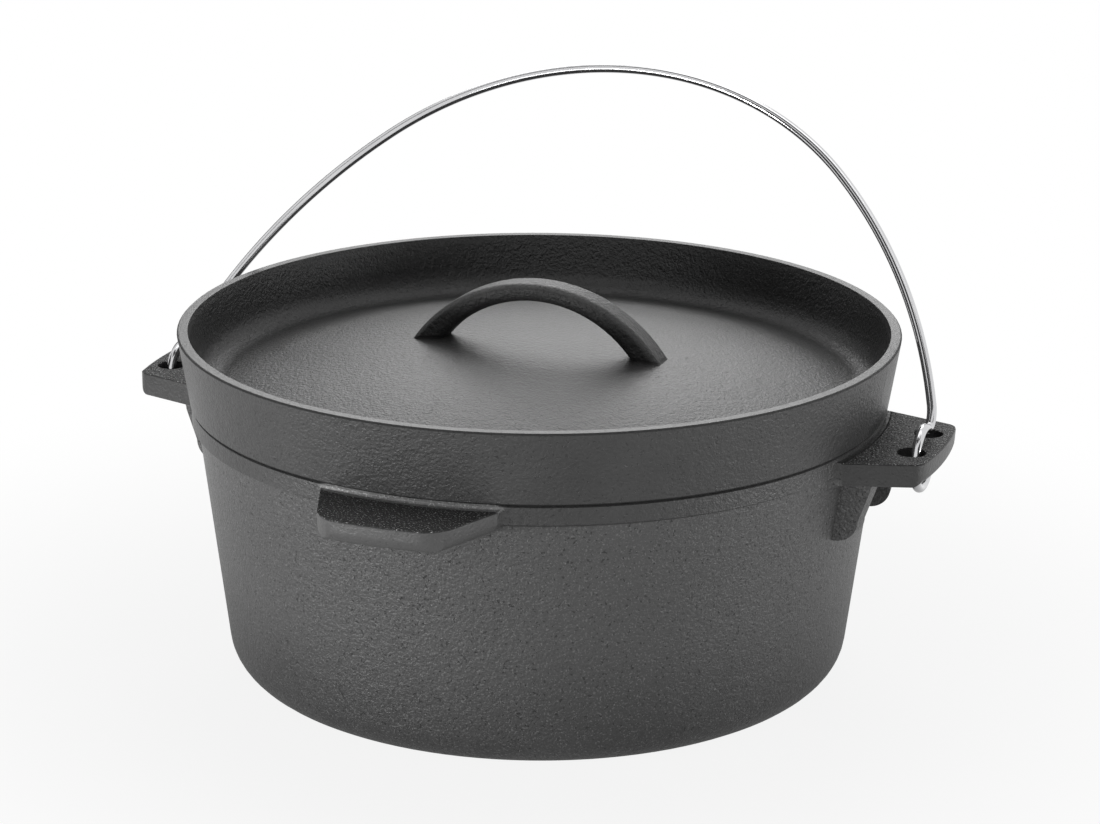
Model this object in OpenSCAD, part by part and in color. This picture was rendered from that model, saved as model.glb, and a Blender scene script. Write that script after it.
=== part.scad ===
// Camp dutch oven: a cast-iron pot with two drilled ears and a front tab,
// a deep coal-tray lid with a cast loop handle, and a swinging wire bail.
// Millimetres, +Z up. The origin is the centre of the pot's flat base,
// +X points at the right ear and -Y at the front tab.

/* [Pot] */
// Outer diameter of the rim band
pot_rim_d = 289.2; // [260:0.2:320]
// Height from the base to the rim
pot_h = 115.8; // [95:0.2:140]
// Draft of the pot's wall, in degrees
pot_draft = 7.1; // [3:0.1:10]
// Thickness of the pot's wall
pot_wall = 5; // [4:0.5:7]
// Thickness of the pot's floor
pot_floor = 6; // [4:0.5:9]
// Radius between the wall and the base, outside
base_r = 16.7; // [10:0.1:22]
// Radius between the wall and the floor, inside
floor_r = 13; // [8:0.5:18]
// Height of the thickened band at the rim
band_h = 7.6; // [5:0.2:12]
// How far the band stands out from the wall
band_out = 1.4; // [0.8:0.1:2.5]
// Bevel on cast edges
edge_bevel = 0.7; // [0.4:0.1:1]

/* [Ears] */
// How far an ear reaches out from the rim band
ear_reach = 29.7; // [27:0.1:36]
// Width of an ear at its outer edge, before its corners are rounded
ear_tip_w = 53.8; // [50:0.2:64]
// Angle at which an ear widens toward the pot, in degrees
ear_flare = 17; // [8:0.5:25]
// Thickness of an ear
ear_t = 9.5; // [8:0.1:12]
// Drop from the rim to the top of an ear
ear_drop = 2; // [1.4:0.1:4]
// Radius of an ear's corners, in plan
ear_corner_r = 6.5; // [4:0.5:8]
// Diameter of the bail holes
hole_d = 11.2; // [10:0.1:14]
// Spacing of an ear's two holes
hole_pitch = 26.6; // [24:0.1:32]
// Distance from an ear's outer edge to its hole centres
hole_inset = 10.4; // [9.5:0.1:13]
// Bevel round each hole
hole_bevel = 0.6; // [0.4:0.1:1]

/* [Gussets] */
// Height of a gusset below its ear
gusset_h = 27; // [20:0.5:36]
// How far a gusset stands out from the wall
gusset_out = 11.4; // [9:0.2:13]
// How much less it stands out at its lower end
gusset_fall = 1.2; // [0:0.1:2.4]
// Thickness of a gusset
gusset_t = 7; // [5:0.5:9]
// Distance across the outer faces of an ear's two gussets
gusset_spread = 53; // [46:0.5:56]
// Radius of a gusset's lower end
gusset_toe_r = 9; // [6:0.5:9]

/* [Front tab] */
// How far the tab reaches out from the rim band
tab_reach = 30; // [24:0.1:36]
// Width of the tab at its outer edge, before its corners are rounded
tab_tip_w = 48; // [40:0.5:60]
// Angle at which the tab widens toward the pot, in degrees
tab_flare = 21; // [8:0.5:28]
// Thickness of the tab
tab_t = 9.5; // [8:0.1:12]
// Radius of the tab's corners, in plan
tab_corner_r = 15; // [8:0.5:16]
// Draft of the tab's edge, in degrees
tab_draft = 1; // [0.5:0.5:6]
// Radius along the tab's lower edge
tab_edge_r = 5.5; // [4:0.5:6.5]

/* [Ear edges, and the fillet under ears and tab] */
// Draft of an ear's outer edge, in degrees
lug_draft = 5; // [4:0.5:10]
// Radius along an ear's lower outer edge
lug_edge_r = 3; // [2:0.2:4]
// Fillet between the underside and the wall
lug_root_r = 5; // [3:0.5:7]

/* [Lid] */
// How far the lid overhangs the rim band
lid_overhang = 0.7; // [0.2:0.1:2]
// Height of the lid's side wall
lid_h = 30.2; // [24:0.2:40]
// Draft of the lid's side wall, in degrees
lid_draft = 8.8; // [5:0.1:11]
// Width of the flat on top of the lid's rim
lid_rim_w = 4.4; // [3.4:0.2:6]
// Draft of the coal tray's inner wall, in degrees
tray_draft = 10; // [6:0.5:14]
// Radius of the cove round the coal tray's floor
tray_cove_r = 9; // [5:0.5:11]
// Height of the tray floor's centre above the lid's seat
tray_crown_h = 22.2; // [20:0.2:24]
// Radius of the tray floor's dome
dome_r = 535; // [500:5:800]
// Thickness of the lid's floor
lid_t = 5; // [4:0.5:6]
// Depth of the locating lip below the seat
lip_h = 5; // [4:0.5:8]
// Thickness of the locating lip
lip_t = 5; // [4:0.5:7]
// Clearance between the lip and the pot's mouth
lip_gap = 0.8; // [0.5:0.1:1.5]
// Gap between the lid's seat and the pot's rim
seat_gap = 0.3; // [0.2:0.05:0.5]

/* [Lid handle] */
// Height of the handle's top above the centre of the tray floor
handle_h = 26.1; // [24:0.1:34]
// Radius of the handle's outer arc
handle_r = 66.3; // [58:0.1:80]
// Thickness of the handle at its top
handle_t = 7.8; // [6:0.2:10]
// Clear span under the handle, along the tray floor
handle_span = 82; // [70:1:88]
// Width of the handle across its flat top
handle_w = 14; // [11:0.2:18]
// Width of the handle's underside, which is drawn in by round sides
handle_under_w = 5; // [3:0.2:8]
// Radius along the handle's upper edges
handle_edge_r = 3; // [1.5:0.1:3.2]

/* [Bail] */
// Diameter of the wire
wire_d = 4; // [3:0.1:6]
// Clearance between an eye and the bar between its ear's holes
eye_clear = 0.4; // [0.3:0.05:1.5]
// Radius of the bend from the leg into the eye, to the middle of the wire
eye_bend_r = 4; // [3.5:0.1:5]
// How far the eye stands outside the holes' centres
eye_offset = 1.3; // [0:0.1:2]
// Angle left open between the leg and the end of the eye, in degrees
eye_gap_angle = 40; // [18:1:60]
// Depth of the eye's centre below the top of the ear
pivot_drop = 6.3; // [4:0.1:8]
// Height of the bail above the eyes' centres
bail_h = 169; // [150:0.5:200]
// How much the crown's radius is less than half the span of the eyes
crown_inset = 19.7; // [10:0.1:40]
// Radius of the flatter arc between the crown and a knee
side_r = 244; // [200:1:400]
// Radius of the knee where a leg turns down into its eye
knee_r = 30; // [20:1:45]
// Backward lean of the bail at rest, in degrees
bail_lean = 43; // [0:1:60]

/* [Hidden] */

$fn = 96;
// Overlap of cutting solids past the faces that they cut
cut = 1;
// Where two bends of the wire meet: how far each stops short of the joint,
// and how much thicker than the wire the ball is that closes it
joint_step = 0.1;
joint_swell = 0.1;
// How far the fillet under an ear or tab is sunk, so that it cuts the wall at a small angle
root_sink = 0.2;
// How much larger the circle is that rounds the tab's sides, so that it cuts them at a small angle
edge_swell = 0.1;
iron = [0.2, 0.2, 0.205];
steel = [0.78, 0.79, 0.8];

// Pot: the outer wall is a cone whose radius at height z is wall_at(z)
rim_r = pot_rim_d / 2;
function wall_at(z) = rim_r - band_out - (pot_h - z) * tan(pot_draft);
function mouth_at(z) = wall_at(z) - pot_wall / cos(pot_draft);

// Ears and tab: the top of a lug and its outer radius
lug_top = pot_h - ear_drop;
ear_r = rim_r + ear_reach;
tab_r = rim_r + tab_reach;
hole_x = ear_r - hole_inset;

// Lid: heights and radii of its outline
seat_z = pot_h + seat_gap;
seat_r = rim_r + lid_overhang;
rim_z = seat_z + lid_h;
lid_r = seat_r + lid_h * tan(lid_draft);
tray_z = seat_z + tray_crown_h;
dome = [0, tray_z - dome_r];
lip_r = mouth_at(pot_h) - lip_gap;
lip_z = seat_z - lip_h;
lip_foot_r = mouth_at(lip_z) - lip_gap;
function tray_floor_at(r) = dome[1] + sqrt(dome_r * dome_r - r * r);

// Cove: a circle that touches the tray's wall and the dome of its floor
tray_rim = [lid_r - lid_rim_w, rim_z];
tray_run = [sin(tray_draft), cos(tray_draft)];
tray_out = [cos(tray_draft), -sin(tray_draft)];
cove_from = tray_rim - tray_cove_r * tray_out - dome;
cove_along = cove_from * tray_run;
cove_rest = cove_from * cove_from - pow(dome_r + tray_cove_r, 2);
cove_move = sqrt(cove_along * cove_along - cove_rest) - cove_along;
cove = dome + cove_from + cove_move * tray_run;
cove_on_wall = cove + tray_cove_r * tray_out;
cove_on_floor = dome + (cove - dome) * dome_r / (dome_r + tray_cove_r);

// Handle: its outer arc, and the inner arc through its top and its clear span
handle_top = tray_z + handle_h;
handle_outer_z = handle_top - handle_r;
under_top = handle_top - handle_t;
under_foot = tray_floor_at(handle_span / 2);
under_z = (pow(under_top, 2) - pow(under_foot, 2) - pow(handle_span / 2, 2))
    / (2 * (under_top - under_foot));
under_r = under_top - under_z;

// Handle: the radius of its round lower sides
handle_side_r = (handle_w - handle_under_w) / 2;

// Eye: a ring that clears the bar between the holes, whose edges are bevelled
pivot_z = lug_top - pivot_drop;
eye_x = hole_x + eye_offset;
bar_half = hole_pitch / 2 - sqrt(pow(hole_d / 2, 2) - pow(eye_offset, 2));
bar_deep = max(pivot_drop, ear_t - pivot_drop);
bar_reach = max(norm([bar_half, bar_deep - hole_bevel]), norm([bar_half - hole_bevel, bar_deep]));
eye_r = bar_reach + eye_clear + wire_d / 2;
leg_foot = sqrt(eye_r * eye_r + 2 * eye_r * eye_bend_r);
bend_start = atan2(eye_bend_r, leg_foot);

// Bail: a side arc touches the crown and the knee from outside, so its centre
// lies a known distance from both of their centres
crown_r = eye_x - crown_inset;
crown = [0, bail_h - crown_r];
knee = [eye_x - knee_r, leg_foot];
span = knee - crown;
side_along = (pow(side_r - crown_r, 2) - pow(side_r - knee_r, 2) + span * span) / (2 * norm(span));
side_across = sqrt(pow(side_r - crown_r, 2) - side_along * side_along);
side = crown + (side_along * span + side_across * [span[1], -span[0]]) / norm(span);
crown_angle = atan2(crown[0] - side[0], crown[1] - side[1]);
knee_angle = atan2(knee[0] - side[0], knee[1] - side[1]);

// Section of a wall of draft angle that runs down from top into a rounded foot
module rounded_foot(top, foot_z, draft, r, inner) {
    centre = [top[0] - (top[1] - foot_z - r) * tan(draft) - r / cos(draft), foot_z + r];
    polygon([
        [inner, foot_z], [centre[0], foot_z], centre,
        centre + r * [cos(draft), -sin(draft)], top, [inner, top[1]]
    ]);
    translate(centre) circle(r);
}

// Right-hand half of the pot's section
module pot_section() {
    band_z = pot_h - band_h;
    difference() {
        union() {
            rounded_foot([wall_at(pot_h - cut), pot_h - cut], 0, pot_draft, base_r, 0);
            polygon([
                [0, band_z - band_out], [wall_at(band_z - band_out), band_z - band_out],
                [rim_r, band_z], [rim_r, pot_h - edge_bevel], [rim_r - edge_bevel, pot_h], [0, pot_h]
            ]);
        }
        rounded_foot([mouth_at(pot_h + cut), pot_h + cut], pot_floor, pot_draft, floor_r, -cut);
        polygon([
            [mouth_at(pot_h) - cut, pot_h + cut], [mouth_at(pot_h) - cut, pot_h - edge_bevel],
            [mouth_at(pot_h - edge_bevel), pot_h - edge_bevel],
            [mouth_at(pot_h) + edge_bevel, pot_h], [mouth_at(pot_h) + edge_bevel, pot_h + cut]
        ]);
    }
}

// Centre of a lug's rounded corner in plan, on the side of +Y
function lug_corner(r, tip_w, flare, corner_r) =
    let(
        slope = tan(flare),
        reach = tip_w / 2 + r * slope - corner_r / cos(flare),
        root = reach * reach - pow(r - corner_r, 2),
        wide = 1 + slope * slope,
        x = (reach * slope + sqrt(pow(reach * slope, 2) - wide * root)) / wide
    ) [x, reach - x * slope];

// Plan of an ear or tab that points along +X: an arc concentric with the pot,
// straight flaring sides and rounded corners
module lug_plan(r, tip_w, flare, corner_r) {
    slope = tan(flare);
    corner = lug_corner(r, tip_w, flare, corner_r);
    corner_x = corner[0];
    corner_y = corner[1];
    side_x = corner_x + corner_r * sin(flare);
    side_y = corner_y + corner_r * cos(flare);
    inner_x = wall_at(0) / 2;
    inner_y = tip_w / 2 + (r - inner_x) * slope;
    polygon([
        [inner_x, -inner_y], [side_x, -side_y], [corner_x, -corner_y],
        [corner_x, corner_y], [side_x, side_y], [inner_x, inner_y]
    ]);
    for (turn = [-1, 1]) translate([corner_x, turn * corner_y]) circle(corner_r);
    intersection() {
        circle(r);
        polygon([[0, 0], 2 * [corner_x, -corner_y], 2 * [corner_x, corner_y]]);
    }
}

// Section of a lug's edge: a bevel, a drafted face and a rounded foot
module edge_section(outer, inner, t, draft, edge_r) {
    difference() {
        rounded_foot([outer, lug_top], lug_top - t, draft, edge_r, inner);
        polygon([
            [outer - edge_bevel, lug_top + cut], [outer - edge_bevel, lug_top],
            [outer, lug_top - edge_bevel], [outer + cut, lug_top - edge_bevel], [outer + cut, lug_top + cut]
        ]);
    }
}

// Section of an ear or tab: its outer edge, and a fillet at the wall
module lug_section(r, t, draft, edge_r) {
    under = lug_top - t;
    inner = wall_at(under) - pot_wall / 2;
    edge_section(r, inner, t, draft, edge_r);
    fillet_z = under - lug_root_r;
    fillet = [wall_at(fillet_z) + lug_root_r / cos(pot_draft) - root_sink, fillet_z];
    difference() {
        polygon([[inner, under], [fillet[0], under], fillet, [inner, fillet_z]]);
        translate(fillet) circle(lug_root_r);
    }
}

// An ear or tab without holes, pointing along +X
module lug(r, tip_w, flare, t, corner_r, draft, edge_r) {
    intersection() {
        rotate_extrude() lug_section(r, t, draft, edge_r);
        translate([0, 0, lug_top - t - lug_root_r - cut])
            linear_extrude(t + lug_root_r + 2 * cut) lug_plan(r, tip_w, flare, corner_r);
    }
}

// What is cut off along one lower side edge of the tab, to round it: across the side and up
module tab_side_section() {
    under = lug_top - tab_t;
    difference() {
        translate([-tab_edge_r, under - lug_root_r - cut])
            square([tab_edge_r + cut, tab_edge_r + lug_root_r + cut]);
        translate([-tab_edge_r, under + tab_edge_r]) circle(tab_edge_r + edge_swell);
    }
}

// The front tab, pointing along +X, with its lower edge rounded along the front and both sides
module tab() {
    long = 2 * tab_reach;
    difference() {
        lug(tab_r, tab_tip_w, tab_flare, tab_t, tab_corner_r, tab_draft, tab_edge_r);
        for (turn = [-1, 1])
            translate([tab_r, turn * tab_tip_w / 2, 0]) rotate(turn * (90 - tab_flare))
                translate([0, long, 0]) rotate([90, 0, 0]) linear_extrude(2 * long) tab_side_section();
    }
}

// Section of a gusset: it follows the wall down from the ear to a rounded toe
module gusset_section() {
    under = lug_top - ear_t;
    foot = under - gusset_h;
    inner = wall_at(foot) - pot_wall / 2;
    toe = [wall_at(foot) + gusset_out - gusset_fall - gusset_toe_r, foot + gusset_toe_r];
    head = [wall_at(under) + gusset_out + lug_root_r, under - lug_root_r];
    difference() {
        polygon([
            [inner, under + cut], [head[0], under + cut], head, [head[0] - lug_root_r, head[1]],
            toe + [gusset_toe_r, 0], toe, [toe[0], foot], [inner, foot]
        ]);
        translate(head) circle(lug_root_r);
    }
    translate(toe) circle(gusset_toe_r);
}

// The two gussets under an ear that points along +X, side by side
module gussets() {
    foot = lug_top - ear_t - gusset_h;
    off = (gusset_spread - gusset_t) / 2;
    intersection() {
        rotate_extrude() gusset_section();
        for (turn = [-1, 1])
            translate([wall_at(0) / 2, turn * off - gusset_t / 2, foot - cut])
                cube([ear_r, gusset_t, gusset_h + 2 * cut]);
    }
}

// Bevelled hole for the bail, down through an ear
module bail_hole() {
    under = lug_top - ear_t;
    translate([0, 0, under - cut]) cylinder(h = ear_t + 2 * cut, d = hole_d);
    translate([0, 0, lug_top - hole_bevel])
        cylinder(h = hole_bevel + cut, d1 = hole_d, d2 = hole_d + 2 * (hole_bevel + cut));
    translate([0, 0, under - cut])
        cylinder(h = hole_bevel + cut, d1 = hole_d + 2 * (hole_bevel + cut), d2 = hole_d);
}

// Ear with its gussets and its two holes, pointing along +X
module ear() {
    difference() {
        lug(ear_r, ear_tip_w, ear_flare, ear_t, ear_corner_r, lug_draft, lug_edge_r);
        for (turn = [-1, 1]) translate([hole_x, turn * hole_pitch / 2, 0]) bail_hole();
    }
    gussets();
}

module pot() {
    color(iron) {
        rotate_extrude() pot_section();
        for (turn = [0, 180]) rotate(turn) ear();
        rotate(-90) tab();
    }
}

// Right-hand half of the lid's section
module lid_section() {
    difference() {
        polygon([
            [0, lip_z], [lip_foot_r - edge_bevel, lip_z], [lip_foot_r, lip_z + edge_bevel],
            [lip_r, seat_z], [seat_r - edge_bevel, seat_z], [seat_r, seat_z + edge_bevel],
            [lid_r, rim_z - edge_bevel], [lid_r - edge_bevel, rim_z], [0, rim_z]
        ]);
        tray_hollow();
        intersection() {
            translate(dome) circle(dome_r - lid_t);
            translate([0, lip_z - cut]) square([lip_foot_r - lip_t, tray_crown_h + lip_h]);
        }
    }
}

// The coal tray that is cut out of the lid, with its cove
module tray_hollow() {
    difference() {
        polygon([
            [-cut, rim_z + cut], tray_rim + cut * tray_run / cos(tray_draft), cove_on_wall,
            cove, cove_on_floor, [-cut, seat_z]
        ]);
        translate(dome) circle(dome_r);
    }
    translate(cove) circle(tray_cove_r);
}

// Section of the handle's upper side: a flat of the full width, rounded at its edges
module handle_top_section() {
    half = handle_w / 2;
    translate([0, -half]) square([handle_r - handle_edge_r, handle_w]);
    translate([0, handle_edge_r - half]) square([handle_r, handle_w - 2 * handle_edge_r]);
    for (turn = [-1, 1])
        translate([handle_r - handle_edge_r, turn * (half - handle_edge_r)]) circle(handle_edge_r);
}

// Section of the handle's underside: drawn in to a narrow rounded edge
module handle_under_section() {
    translate([under_r + handle_side_r, -handle_w / 2]) square([handle_r, handle_w]);
    translate([under_r, -handle_under_w / 2]) square([handle_r, handle_under_w]);
    for (turn = [-1, 1])
        translate([under_r + handle_side_r, turn * handle_under_w / 2]) circle(handle_side_r);
}

// The loop that is cast on the lid, with its feet in the lid's floor
module lid_handle() {
    difference() {
        intersection() {
            translate([0, 0, handle_outer_z]) rotate([90, 0, 0]) rotate_extrude() handle_top_section();
            translate([0, 0, under_z]) rotate([90, 0, 0]) rotate_extrude() handle_under_section();
        }
        translate([0, 0, dome[1]]) sphere(dome_r - lid_t / 2);
    }
}

module lid() {
    color(iron) {
        rotate_extrude() lid_section();
        lid_handle();
    }
}

// Round wire bent in the XZ plane about the origin, from angle start, clockwise from +Z
module wire_arc(r, start, sweep) {
    trim = joint_step / r * 180 / PI;
    rotate([90, 0, 0]) rotate(90 - start - sweep + trim)
        rotate_extrude(angle = sweep - 2 * trim) translate([r, 0]) circle(d = wire_d);
}

// Ball that closes the joint between two bends, at an angle on an arc of radius r,
// with its poles on the line of the wire
module wire_joint(r, angle) {
    rotate([0, angle, 0]) translate([0, 0, r]) rotate([0, 90, 0]) sphere(d = wire_d + joint_swell);
}

// One eye in the YZ plane about the origin: a bend out of the leg, then the ring round the bar
module bail_eye() {
    rotate([0, 0, -90]) {
        translate([0, 0, leg_foot]) sphere(d = wire_d + joint_swell);
        translate([eye_bend_r, 0, leg_foot])
            wire_arc(eye_bend_r, 180 + bend_start, 90 - bend_start);
        wire_joint(eye_r, bend_start);
        wire_arc(eye_r, bend_start, 360 - eye_gap_angle - bend_start);
    }
}

// One leg along +X: the side arc, the knee and the eye
module bail_leg() {
    translate([side[0], 0, side[1]]) {
        wire_joint(side_r, crown_angle);
        wire_arc(side_r, crown_angle, knee_angle - crown_angle);
    }
    translate([knee[0], 0, knee[1]]) {
        wire_joint(knee_r, knee_angle);
        wire_arc(knee_r, knee_angle, 90 - knee_angle);
    }
    translate([eye_x, 0, 0]) bail_eye();
}

module bail() {
    color(steel) translate([0, 0, pivot_z]) rotate([-bail_lean, 0, 0]) {
        translate([0, 0, crown[1]]) wire_arc(crown_r, -crown_angle, 2 * crown_angle);
        bail_leg();
        mirror([1, 0, 0]) bail_leg();
    }
}

pot();
lid();
bail();
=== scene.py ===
# %% [markdown]
# # A camp dutch oven in cast iron
# The oven is three pieces: an iron pot, an iron lid that doubles as a tray for coals, and a wire
# bail to hang it by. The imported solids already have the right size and, but for a low ridge on the
# tab, the right shape. So this lesson loads them as a fixed frame, lights them like a catalogue
# picture, gives the two castings a proper iron finish, grinds the tab flat, and bends the bail again as
# one smooth wire.

# %% Load the solids
from math import atan2, cos, degrees, pi, radians, sin, sqrt

import bpy
from mathutils import Matrix, Vector


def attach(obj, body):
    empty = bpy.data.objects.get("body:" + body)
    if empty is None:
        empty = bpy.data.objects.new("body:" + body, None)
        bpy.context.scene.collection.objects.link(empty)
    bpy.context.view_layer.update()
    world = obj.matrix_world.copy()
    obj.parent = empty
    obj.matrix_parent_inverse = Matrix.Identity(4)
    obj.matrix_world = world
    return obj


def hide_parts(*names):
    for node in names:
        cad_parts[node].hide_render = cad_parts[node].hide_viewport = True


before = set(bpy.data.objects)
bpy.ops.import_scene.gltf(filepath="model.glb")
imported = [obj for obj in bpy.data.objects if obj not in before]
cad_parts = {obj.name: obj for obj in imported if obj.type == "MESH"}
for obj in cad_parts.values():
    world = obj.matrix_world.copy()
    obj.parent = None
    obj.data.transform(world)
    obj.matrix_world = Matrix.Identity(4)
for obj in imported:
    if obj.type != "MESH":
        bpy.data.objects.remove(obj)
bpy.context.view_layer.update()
bpy.ops.object.select_all(action="DESELECT")
print("nodes:", sorted(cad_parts))

# %% [markdown]
# ## Camera
# A catalogue picture is taken with a long lens from a few paces away, so that the rim of the lid
# stays a calm ellipse. The camera could be aimed with a Track To constraint, but three plain turns
# are easier to read: a heading, a dip towards the floor, and the slight roll of a tripod set by eye.

# %% Camera
CAMERA_PLACE = (0.4910, -1.3084, 0.5489)
CAMERA_HEADING = radians(20.382)
CAMERA_DIP = radians(17.52)
CAMERA_ROLL = radians(0.382)
FOCAL_LENGTH_MM = 114.545
SENSOR_WIDTH_MM = 36

bpy.ops.object.camera_add(location=CAMERA_PLACE)
camera = bpy.context.object
camera.name = "camera"
heading = Matrix.Rotation(CAMERA_HEADING, 3, "Z")
dip = Matrix.Rotation(pi / 2 - CAMERA_DIP, 3, "X")
roll = Matrix.Rotation(CAMERA_ROLL, 3, "Z")
camera.rotation_euler = (heading @ dip @ roll).to_euler()
camera.data.lens = FOCAL_LENGTH_MM
camera.data.sensor_width = SENSOR_WIDTH_MM
bpy.context.scene.camera = camera
bpy.context.scene.view_settings.view_transform = "Standard"
print("camera", round(Vector(CAMERA_PLACE).length, 3), "m from the pot's base")

# %% [markdown]
# ## A helper for shader maths
# A finish is a network of nodes, and a network is hard to read as code. One small class wraps the
# output of a node, so that sums and products are written as plain Python and each one adds its Math
# node. Every other node comes from one method that takes its type, its settings and its inputs.

# %% Shader helper


class Reading:
    """One output of a node, which takes part in sums and products."""

    def __init__(self, finish, node, output=0):
        self.finish = finish
        self.node = node
        self.socket = node.outputs[output] if node.outputs else None

    def also(self, output):
        """Another output of the same node."""
        return Reading(self.finish, self.node, output)

    def maths(self, operation, first, second):
        return self.finish.node("ShaderNodeMath", {"operation": operation}, {0: first, 1: second})

    def __add__(self, other):
        return self.maths("ADD", self, other)

    def __radd__(self, other):
        return self.maths("ADD", other, self)

    def __sub__(self, other):
        return self.maths("SUBTRACT", self, other)

    def __rsub__(self, other):
        return self.maths("SUBTRACT", other, self)

    def __mul__(self, other):
        return self.maths("MULTIPLY", self, other)

    def __rmul__(self, other):
        return self.maths("MULTIPLY", other, self)


class Finish:
    """The node tree of a material or of the world, built up node by node."""

    def __init__(self, owner):
        owner.use_nodes = True
        self.owner = owner
        self.tree = owner.node_tree
        self.tree.nodes.clear()

    def node(self, kind, settings=None, inputs=None, output=0):
        node = self.tree.nodes.new(kind)
        for name, value in (settings or {}).items():
            setattr(node, name, value)
        for name, value in (inputs or {}).items():
            if isinstance(value, Reading):
                self.tree.links.new(value.socket, node.inputs[name])
            else:
                node.inputs[name].default_value = value
        return Reading(self, node, output)

    def between(self, value, low, high):
        """0 at low and below, 1 at high and above, eased in between."""
        inputs = {"Value": value, "From Min": low, "From Max": high}
        return self.node("ShaderNodeMapRange", {"interpolation_type": "SMOOTHSTEP"}, inputs)

    def within(self, value, start, end):
        """1 past the first border and before the second one, 0 elsewhere."""
        return self.between(value, *start) * (1 - self.between(value, *end))

    def clamp(self, value):
        """The value, kept from 0 to 1."""
        return self.node("ShaderNodeClamp", None, {"Value": value})

    def length(self, vector, axes):
        """How long a vector is, counting only some of its axes."""
        part = self.node("ShaderNodeVectorMath", {"operation": "MULTIPLY"}, {0: vector, 1: axes})
        return self.node("ShaderNodeVectorMath", {"operation": "LENGTH"}, {0: part}, output="Value")

    def grain(self, place, per_metre, detail=2.0, roughness=0.5):
        """Cloudy noise with that many features to the metre."""
        inputs = {"Vector": place, "Scale": per_metre, "Detail": detail, "Roughness": roughness}
        return self.node("ShaderNodeTexNoise", None, inputs)

    def blend(self, share, first, second):
        """A colour between two colours."""
        inputs = {"Factor": share, 6: first, 7: second}
        return self.node("ShaderNodeMix", {"data_type": "RGBA"}, inputs, output=2)


def grey(value):
    return (value, value, value, 1.0)


print("shader helper ready")

# %% [markdown]
# ## Floor and white surroundings
# The oven stands on white paper in a white room. Paper usually curves up behind the object, but
# this camera looks down far enough for one large floor to fill the picture. Close to the pot the
# floor takes its shadow, and further out it turns into plain white, so that no edge shows. Rays from
# the camera and mirror-like rays see white, while the light that falls on the iron stays plain. The
# camera gets a pale shadow, as on bright paper, and the iron mirrors the full one.

# %% Floor and world
FLOOR_SIZE = 12.0
SHADOW_NEAR = 0.14
SHADOW_FAR = 0.42
CAMERA_SHADOW = 0.16
MIRROR_SHADOW = 1.0
PAPER_GREY = 0.6
TABLE_GLOW = 0.25
ROOM_LIGHT = 0.20

bpy.ops.mesh.primitive_plane_add(size=FLOOR_SIZE)
floor = bpy.context.object
floor.name = "floor"


def mirror_or_camera(finish):
    """1 for the rays that show the background: from the camera, a mirror or glass."""
    light_path = finish.node("ShaderNodeLightPath", output="Is Camera Ray")
    shown = light_path + light_path.also("Is Glossy Ray") + light_path.also("Is Transmission Ray")
    return finish.clamp(shown)


paper = Finish(bpy.data.materials.new("white_paper"))
place = paper.node("ShaderNodeTexCoord", output="Object")
reach = paper.length(place, (1, 1, 1))
close_in = 1 - paper.between(reach, SHADOW_NEAR, SHADOW_FAR)
from_camera = paper.node("ShaderNodeLightPath", output="Is Camera Ray")
shadow = MIRROR_SHADOW + from_camera * (CAMERA_SHADOW - MIRROR_SHADOW)
whiteness = mirror_or_camera(paper) * (1 - close_in * shadow)
matt = paper.node("ShaderNodeBsdfDiffuse", None, {"Color": grey(PAPER_GREY)})
glow = paper.node("ShaderNodeEmission", None, {"Color": grey(1.0), "Strength": 1.0})
lit_from_below = paper.node("ShaderNodeEmission", None, {"Color": grey(1.0), "Strength": TABLE_GLOW})
table = paper.node("ShaderNodeAddShader", None, {0: matt, 1: lit_from_below})
surface = paper.node("ShaderNodeMixShader", None, {0: whiteness, 1: table, 2: glow})
paper.node("ShaderNodeOutputMaterial", None, {"Surface": surface})
floor.data.materials.append(paper.owner)

room = Finish(bpy.data.worlds.new("white_room"))
strength = ROOM_LIGHT + mirror_or_camera(room) * (1 - ROOM_LIGHT)
sky = room.node("ShaderNodeBackground", None, {"Color": grey(1.0), "Strength": strength})
room.node("ShaderNodeOutputWorld", None, {"Surface": sky})
bpy.context.scene.world = room.owner
print("floor", FLOOR_SIZE, "m square, room light", ROOM_LIGHT)

# %% [markdown]
# ## Lamps and cards
# Dark iron shows its form by what it mirrors. Soft boxes behind and above the oven light the lid, and
# long low ones in front and at the right light the side walls. The room is white all round, so dark
# cards hang overhead and at the sides: they draw the dark lines along the bright wire and keep the
# inner wall of the lid black. Cards and lamps stay out of the camera's sight.

# %% Lamps and cards
POT_MIDDLE = Vector((0, 0, 0.1))
CARD_GREY = 0.05


def facing(spot):
    """The turn that points a lamp or a card from its place at the pot."""
    return (POT_MIDDLE - Vector(spot)).to_track_quat("-Z", "Y").to_euler()


def softbox(name, spot, width, height, watts):
    bpy.ops.object.light_add(type="AREA", location=spot, rotation=facing(spot))
    lamp = bpy.context.object
    lamp.name = name
    lamp.data.shape = "RECTANGLE"
    lamp.data.size = width
    lamp.data.size_y = height
    lamp.data.energy = watts
    lamp.visible_camera = False


softbox("back_softbox", (-0.50, 1.30, 0.95), 0.95, 0.75, 6.2)
softbox("top_softbox", (0.10, 0.30, 1.60), 1.2, 0.8, 3)
softbox("front_left_softbox", (-1.05, -1.30, 0.07), 1.0, 0.13, 14)
softbox("front_softbox", (-0.15, -1.70, 0.07), 1.2, 0.13, 4)
softbox("right_softbox", (1.50, 0.05, 0.12), 0.8, 0.22, 7)

dark_card = Finish(bpy.data.materials.new("black_card"))
felt = dark_card.node("ShaderNodeEmission", None, {"Color": grey(CARD_GREY), "Strength": 1.0})
dark_card.node("ShaderNodeOutputMaterial", None, {"Surface": felt})


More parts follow.
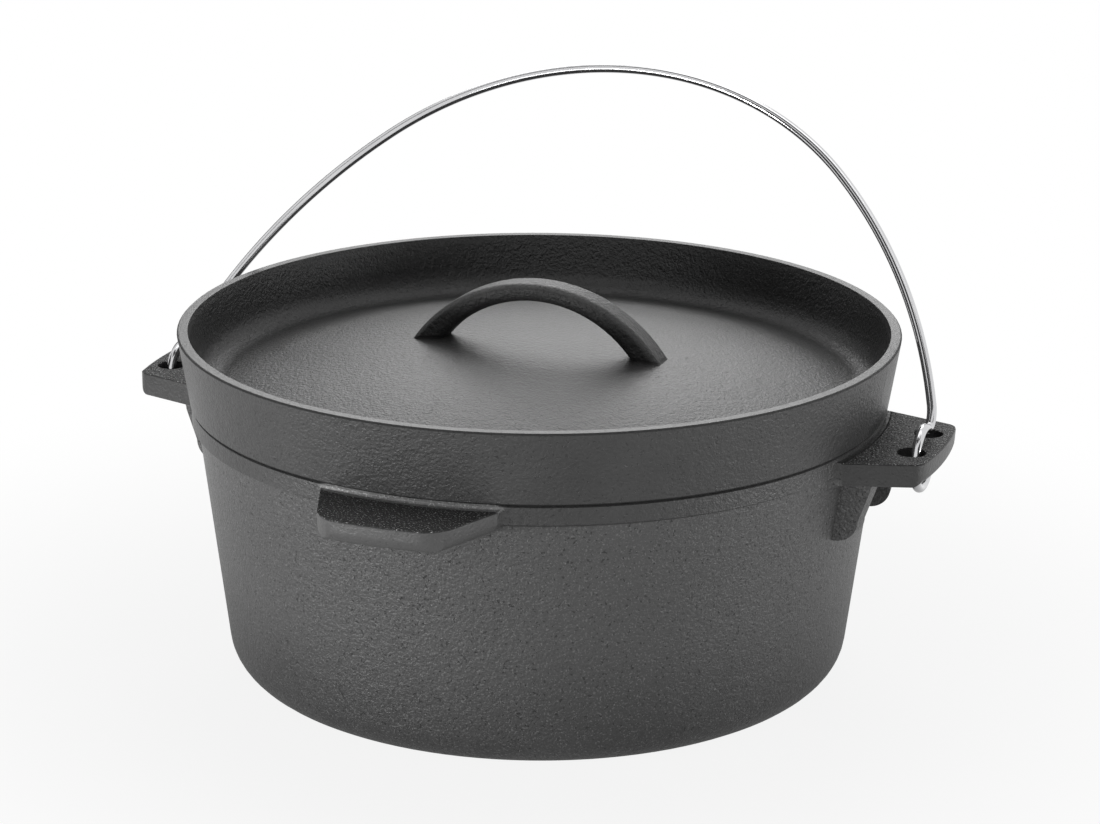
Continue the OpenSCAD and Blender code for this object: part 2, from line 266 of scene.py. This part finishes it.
def card(name, spot, width, height):
    bpy.ops.mesh.primitive_plane_add(size=1, location=spot, rotation=facing(spot))
    sheet = bpy.context.object
    sheet.name = name
    sheet.scale = (width, height, 1)
    sheet.visible_camera = False
    sheet.visible_shadow = False
    sheet.data.materials.append(dark_card.owner)


card("card_above", (0.15, -0.25, 1.80), 1.8, 0.9)
card("card_right", (2.5, -0.9, 1.3), 2.2, 2.0)
card("card_left", (-2.4, -1.1, 1.3), 2.8, 2.0)
card("card_back_left", (-1.6, 1.5, 0.7), 1.3, 1.2)

# %% [markdown]
# ## Iron finish
# The castings come out of a sand mould with a fine pebbled skin, and a baked-on oil turns them
# charcoal. A photograph of real iron could be wrapped round them, but noise in the object's own space
# needs no unwrapping and joins without a seam. Sand grains and pebbles raise the skin, small dark pits
# and painted glints break it up, and broad clouds stand for the uneven bake.
#
# A few zones differ. The tops of the ears and the tab are left as cast, so they are rough, and they
# also get painted shade and painted glints. The narrow band of the pot's rim above the tab is painted a
# light grey, with painted glints. The edges of the ears and the tab and the rim of the lid are dressed
# smooth, and the band round the pot and the rest of the lid a little. A thin dark line is painted along
# the lid's sharp upper edge, and painted shade darkens the wall of its tray and the join under the
# lid's edge. The pot's wall and the tab's face are painted lighter, the wall darker towards the base,
# and painted shade darkens the sides of the ears. The sides of the loop handle are rougher, and painted
# shade makes them darker than its top. Each zone is told by height, by distance from the axis or from
# the centre of the loop's arc, and by how far to the front it is, so the borders are listed first.

# %% Borders of the zones
TRAY_TOP = 0.1383
TRAY_DOME = 0.535
LOOP_R = 0.0663
LOOP_CENTRE = (0, 0, 0.0981)

# Distances from the axis, each where a border starts and where it ends
WALL_OUTSIDE = (0.1425, 0.1440)
LUG_ROOT = (0.1462, 0.1470)
LID_EDGE = (0.1487, 0.1491)
TRAY_COVE = (0.1240, 0.1300)
TRAY_WALL_INSIDE = (0.1340, 0.1375)
TRAY_WALL_OUTSIDE = (0.1447, 0.1452)
LOOP_REACH = (0.060, 0.065)

# Heights above the ground, from the base up
BASE_CURVE = (0.010, 0.060)
LUG_UNDERSIDE = (0.1035, 0.1045)
WALL_HEAD = (0.1062, 0.1072)
BAND_FOOT = (0.1068, 0.1086)
LUG_TOP = (0.1132, 0.1136)
STRIP_FOOT = (0.1135, 0.1138)
GAP_FOOT = (0.1150, 0.1153)
LUG_HEAD = (0.1152, 0.1157)
STRIP_HEAD = (0.1157, 0.1159)
GAP_HEAD = (0.1165, 0.1168)
TRAY_WALL_FOOT = (0.1300, 0.1330)
LID_EDGE_FOOT = (0.1453, 0.1457)
RIM_FACE = (0.1461, 0.1463)

# Heights above the domed floor of the tray
FLOOR_UNDERSIDE = (-0.0020, -0.0010)
FLOOR_SKIN = (0.0004, 0.0010)
LOOP_FOOT = (0.0008, 0.0016)

# Distance from the centre of the loop's arc, and places from back to front
LOOP_CROWN = (LOOP_R - 0.0022, LOOP_R - 0.0006)
TAB_SIDE = (-0.1330, -0.1395)
TAB_MIDDLE = (-0.1390, -0.1402)

iron = Finish(bpy.data.materials.new("seasoned_iron"))
place = iron.node("ShaderNodeTexCoord", output="Object")
split = iron.node("ShaderNodeSeparateXYZ", None, {"Vector": place})
forward = split.also("Y")
level = split.also("Z")
radius = iron.length(place, (1, 1, 0))
above_tray = level - TRAY_TOP + radius * radius * (0.5 / TRAY_DOME)
from_arc = iron.node("ShaderNodeVectorMath", {"operation": "SUBTRACT"}, {0: place, 1: LOOP_CENTRE})
arc_radius = iron.length(from_arc, (1, 0, 1))

outside = iron.between(radius, *WALL_OUTSIDE)
front = iron.between(forward, *TAB_SIDE)
lug = iron.between(radius, *LUG_ROOT) * iron.within(level, LUG_UNDERSIDE, LUG_HEAD)
off_lug = 1 - lug
# The as-cast tops of the ears and the tab: rough, and painted darker as shade
as_cast_shaded_top = iron.between(level, *LUG_TOP) * lug
lug_face = lug * (1 - as_cast_shaded_top)
# The tab's face, where light is painted
painted_light_tab_face = lug_face * front
# The sides of the ears, where shade is painted
painted_shade_ear_face = lug_face * (1 - front)
rim = iron.between(level, *RIM_FACE) * outside
edge = iron.between(level, *LID_EDGE_FOOT) * iron.between(radius, *LID_EDGE) * (1 - rim)
over_tab = iron.between(forward, *TAB_MIDDLE) * outside * off_lug
# The narrow band of rim above the tab, painted light grey as if lit
painted_light_strip = iron.within(level, STRIP_FOOT, STRIP_HEAD) * over_tab
# The join under the lid's edge, painted dark as shade
shaded_gap = iron.within(level, GAP_FOOT, GAP_HEAD) * outside * (1 - painted_light_strip) * off_lug
band_and_lid = iron.between(level, *BAND_FOOT) * off_lug
# The pot's wall above the curve of the base, where light is painted
painted_light_wall = iron.within(level, BASE_CURVE, WALL_HEAD) * off_lug
off_cove = 1 - iron.between(radius, *TRAY_COVE)
tray_floor = iron.within(above_tray, FLOOR_UNDERSIDE, FLOOR_SKIN) * off_cove
# The wall of the lid's tray, painted dark as shade
shaded_tray_wall = iron.within(radius, TRAY_WALL_INSIDE, TRAY_WALL_OUTSIDE) * (1 - rim)
shaded_tray_wall = shaded_tray_wall * iron.between(level, *TRAY_WALL_FOOT)
loop = iron.between(above_tray, *LOOP_FOOT) * (1 - iron.between(radius, *LOOP_REACH))
# The sides of the loop handle: rougher, and painted darker than its top as shade
rough_shaded_loop_side = loop * (1 - iron.between(arc_radius, *LOOP_CROWN))
smooth = iron.clamp(rim + band_and_lid * 0.4 + lug_face * 0.8 + tray_floor * 0.3)
print("zones told apart with", len(iron.tree.nodes), "nodes")

# %% Iron finish
GRAIN_DEPTH = 0.0009
SAND_PER_METRE = 820
PEBBLES_PER_METRE = 330
CLOUDS_PER_METRE = 22
PITS_PER_METRE = 760
SPARKLES_PER_METRE = 1300
BAKE_DARK = grey(0.034)
BAKE_LIGHT = grey(0.054)
# Painted light: a lighter grey for the pot's wall and the tab's face
PAINTED_LIGHT_GREY = grey(0.10)
# Near black for the pits and for painted shade
PIT_AND_SHADE_BLACK = grey(0.008)
# Painted light for the band of rim above the tab
PAINTED_LIGHT_STRIP_GREY = grey(0.26)
# Pale grey for painted glints
PAINTED_GLINT_GREY = grey(0.70)

# Grains of the skin
sand = iron.grain(place, SAND_PER_METRE, 2.0, 0.6)
pebble = iron.grain(place, PEBBLES_PER_METRE, 1.0, 0.5)
cloud = iron.grain(place, CLOUDS_PER_METRE, 3.0, 0.55)
pit = 1 - iron.between(iron.grain(place, PITS_PER_METRE, 1.0, 0.5), 0.29, 0.35)
sparkle = iron.between(iron.grain(place, SPARKLES_PER_METRE, 1.0, 0.5), 0.60, 0.70)

# Relief
height = sand * 0.62 + pebble * 0.34 - pit * 0.22
height = height * (1 - smooth * 0.7) * (1 + as_cast_shaded_top * 1.6 + rough_shaded_loop_side * 1.3)
relief = {"Strength": 1.0, "Distance": GRAIN_DEPTH, "Height": height}
bump = iron.node("ShaderNodeBump", None, relief)

# Colour
bake = iron.between(cloud * 0.6 + sand * 0.4, 0.3, 0.7)
bare = iron.blend(bake, BAKE_DARK, BAKE_LIGHT)
# Painted light: the pot's wall is painted lighter, darker towards the base, and the tab's face lighter
# still
bare = iron.blend(painted_light_wall * 0.6 + painted_light_tab_face * 0.8, bare, PAINTED_LIGHT_GREY)
# Painted shade darkens the as-cast tops, the sides of the ears, the wall of the tray, the join under
# the lid and the sides of the loop; the pits and a thin line along the lid's upper edge darken too
pits_and_shade = pit * 0.7 * (1 - smooth) + edge * 0.8 + as_cast_shaded_top * 0.6 + painted_shade_ear_face * 0.35
pits_and_shade = iron.clamp(pits_and_shade + shaded_tray_wall * 0.6 + shaded_gap * 0.95 + rough_shaded_loop_side * 0.75)
pitted_and_shaded = iron.blend(pits_and_shade, bare, PIT_AND_SHADE_BLACK)
# Painted glints: pale spots, most on the as-cast tops and the band above the tab, few elsewhere, none
# where dressed smooth
painted_glint = iron.clamp(sparkle * (0.12 + as_cast_shaded_top * 0.88 + painted_light_strip - smooth))
colour = iron.blend(painted_glint, iron.blend(painted_light_strip, pitted_and_shaded, PAINTED_LIGHT_STRIP_GREY), PAINTED_GLINT_GREY)

# Gloss
gloss = 0.32 + cloud * 0.08 + sand * 0.10 + as_cast_shaded_top * 0.20 + edge * 0.2 + shaded_gap * 0.3
gloss = gloss - shaded_tray_wall * 0.08 - rim * 0.05 - tray_floor * 0.03 + rough_shaded_loop_side * 0.15
skin = iron.node("ShaderNodeBsdfPrincipled", None, {
    "Base Color": colour,
    "Roughness": gloss,
    "Specular IOR Level": 0.5,
    "Normal": bump,
})
iron.node("ShaderNodeOutputMaterial", None, {"Surface": skin})
for name in ("pot", "lid"):
    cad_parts[name].data.materials.clear()
    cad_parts[name].data.materials.append(iron.owner)
print("iron on pot and lid, grain", GRAIN_DEPTH * 1000, "mm deep")

# %% [markdown]
# ## Flat top for the tab
# The tab's top is flat on the real casting, while the solid keeps a low ridge along its front edge. On
# a casting such a ridge is ground off. Its vertices could be pushed down one by one, but a Boolean cut
# with a plain box works like the grinder: it takes off what stands above the flat and nothing else.

# %% Grind the tab flat
TAB_TOP = 0.11382
TAB_BACK = -0.150
GRINDER_PLACE = (0, -0.175, TAB_TOP + 0.005)
GRINDER_SIZE = (0.12, 0.036, 0.010)
POT_WELD = 0.000002
POT_SMOOTHING = radians(30)


def pick(piece):
    """Selects one piece alone and makes it the active one."""
    bpy.ops.object.select_all(action="DESELECT")
    piece.select_set(True)
    bpy.context.view_layer.objects.active = piece


pot_casting = bpy.data.objects.new("pot_casting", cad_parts["pot"].data.copy())
bpy.context.collection.objects.link(pot_casting)
pick(pot_casting)
bpy.ops.mesh.customdata_custom_splitnormals_clear()
bpy.ops.object.mode_set(mode="EDIT")
bpy.ops.mesh.select_all(action="SELECT")
bpy.ops.mesh.remove_doubles(threshold=POT_WELD)
bpy.ops.object.mode_set(mode="OBJECT")
faces_before = len(pot_casting.data.polygons)

bpy.ops.mesh.primitive_cube_add(size=1, location=GRINDER_PLACE)
grinder = bpy.context.object
grinder.scale = GRINDER_SIZE
pick(grinder)
bpy.ops.object.transform_apply(location=True, rotation=True, scale=True)

pick(pot_casting)
cut = pot_casting.modifiers.new("grinding", "BOOLEAN")
cut.operation = "DIFFERENCE"
cut.solver = "EXACT"
cut.object = grinder
bpy.ops.object.modifier_apply(modifier=cut.name)
bpy.data.objects.remove(grinder)
bpy.ops.object.shade_smooth_by_angle(angle=POT_SMOOTHING)
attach(pot_casting, "pot")
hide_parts("pot")
tab_heights = [v.co.z for v in pot_casting.data.vertices if v.co.y < TAB_BACK]
print("pot:", faces_before, "faces, then", len(pot_casting.data.polygons))
print("tab's top at", round(max(tab_heights) * 1000, 2), "mm")

# %% [markdown]
# ## Steel finish
# The bail is bright drawn wire. Drawing leaves faint scratches along the wire, so its gloss changes a
# little from place to place. The scratches could be stretched along the wire on a UV map, but on 4 mm
# of wire they are too fine to see one by one, and plain noise gives the same glitter.

# %% Steel finish
WIRE_DARK = (0.54, 0.54, 0.55, 1)
WIRE_LIGHT = (0.70, 0.70, 0.71, 1)
SCRATCHES_PER_METRE = 900
STAINS_PER_METRE = 60

steel = Finish(bpy.data.materials.new("bright_wire"))
place = steel.node("ShaderNodeTexCoord", output="Object")
scratch = steel.grain(place, SCRATCHES_PER_METRE, 3.0, 0.6)
stain = steel.grain(place, STAINS_PER_METRE, 2.0, 0.5)
shine = steel.node("ShaderNodeBsdfPrincipled", None, {
    "Base Color": steel.blend(stain, WIRE_DARK, WIRE_LIGHT),
    "Metallic": 1.0,
    "Roughness": 0.10 + scratch * 0.10,
})
steel.node("ShaderNodeOutputMaterial", None, {"Surface": shine})
print("steel ready")

# %% [markdown]
# ## Bail
# The bail is one length of wire, bent to an arch and then into an eye at each end, and each eye hooks
# through the two holes of its ear. A curve with a round bevel would do it, but bending a circle round
# the centre of each bend with Spin is how the wire is really formed, and keeps every bend a true arc.
# Half of the wire is bent and the other half mirrored. All bends lie in one leaning plane, apart
# from the eye, which turns across it.

# %% Sizes of the bail
WIRE_D = 0.004
WIRE_SIDES = 32
END_BEVEL = 0.0004
HALVES_WELD = 0.00005
WIRE_WELD = 0.00002
WIRE_SMOOTHING = radians(40)
PIVOT_Z = 0.1075
LEAN = radians(43)
EYE_X = 0.1652
EYE_R = 0.01207
EYE_BEND_R = 0.004
EYE_GAP = radians(40)
BAIL_H = 0.169
CROWN_R = 0.1455
SIDE_R = 0.244
KNEE_R = 0.030

leg_foot = sqrt(EYE_R * EYE_R + 2 * EYE_R * EYE_BEND_R)
bend_start = atan2(EYE_BEND_R, leg_foot)
crown = Vector((0, BAIL_H - CROWN_R))
knee = Vector((EYE_X - KNEE_R, leg_foot))
span = knee - crown
along = ((SIDE_R - CROWN_R) ** 2 - (SIDE_R - KNEE_R) ** 2 + span.length_squared) / (2 * span.length)
across = sqrt((SIDE_R - CROWN_R) ** 2 - along ** 2)
side = crown + (along * span + across * Vector((span[1], -span[0]))) / span.length
crown_angle = atan2(crown[0] - side[0], crown[1] - side[1])
knee_angle = atan2(knee[0] - side[0], knee[1] - side[1])
side_turn = knee_angle - crown_angle
print("crown turns", round(degrees(crown_angle), 1), "side turns", round(degrees(side_turn), 1))

# %% Bend the wire
BACK = Vector((0, cos(LEAN), -sin(LEAN)))
UP = Vector((0, sin(LEAN), cos(LEAN)))
RIGHT = Vector((1, 0, 0))
PIVOT = Vector((0, 0, PIVOT_Z))


def on_bail(x, up, back=0.0):
    return PIVOT + x * RIGHT + up * UP + back * BACK


def bend(centre, axis, angle, steps):
    bpy.ops.mesh.spin(steps=steps, angle=-angle, center=centre, axis=axis)


bpy.ops.object.select_all(action="DESELECT")
bpy.ops.mesh.primitive_circle_add(
    vertices=WIRE_SIDES,
    radius=WIRE_D / 2,
    location=on_bail(0, BAIL_H),
    rotation=(0, pi / 2, 0),
)
wire = bpy.context.object
wire.name = "bail_wire"
bpy.ops.object.mode_set(mode="EDIT")
bend(on_bail(*crown), BACK, crown_angle, steps=40)
bend(on_bail(*side), BACK, side_turn, steps=24)
bend(on_bail(*knee), BACK, pi / 2 - knee_angle, steps=20)
bend(on_bail(EYE_X, leg_foot, -EYE_BEND_R), -RIGHT, pi / 2 - bend_start, steps=12)
bend(on_bail(EYE_X, 0), RIGHT, 2 * pi - EYE_GAP - bend_start, steps=56)
bpy.ops.mesh.edge_face_add()
bpy.ops.mesh.bevel(offset=END_BEVEL, segments=3, affect="EDGES")
bpy.ops.object.mode_set(mode="OBJECT")
print("half of the wire:", len(wire.data.polygons), "faces")

# %% Mirror and smooth the wire
bpy.ops.object.transform_apply(location=True, rotation=True, scale=True)
mirror = wire.modifiers.new("left_half", "MIRROR")
mirror.use_axis = (True, False, False)
mirror.merge_threshold = HALVES_WELD
bpy.ops.object.modifier_apply(modifier=mirror.name)
bpy.ops.object.mode_set(mode="EDIT")
bpy.ops.mesh.select_all(action="SELECT")
bpy.ops.mesh.remove_doubles(threshold=WIRE_WELD)
bpy.ops.mesh.normals_make_consistent(inside=False)
bpy.ops.object.mode_set(mode="OBJECT")
bpy.ops.object.shade_smooth_by_angle(angle=WIRE_SMOOTHING)
wire.data.materials.append(steel.owner)
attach(wire, "bail")
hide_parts("bail")
print("wire:", len(wire.data.polygons), "faces")
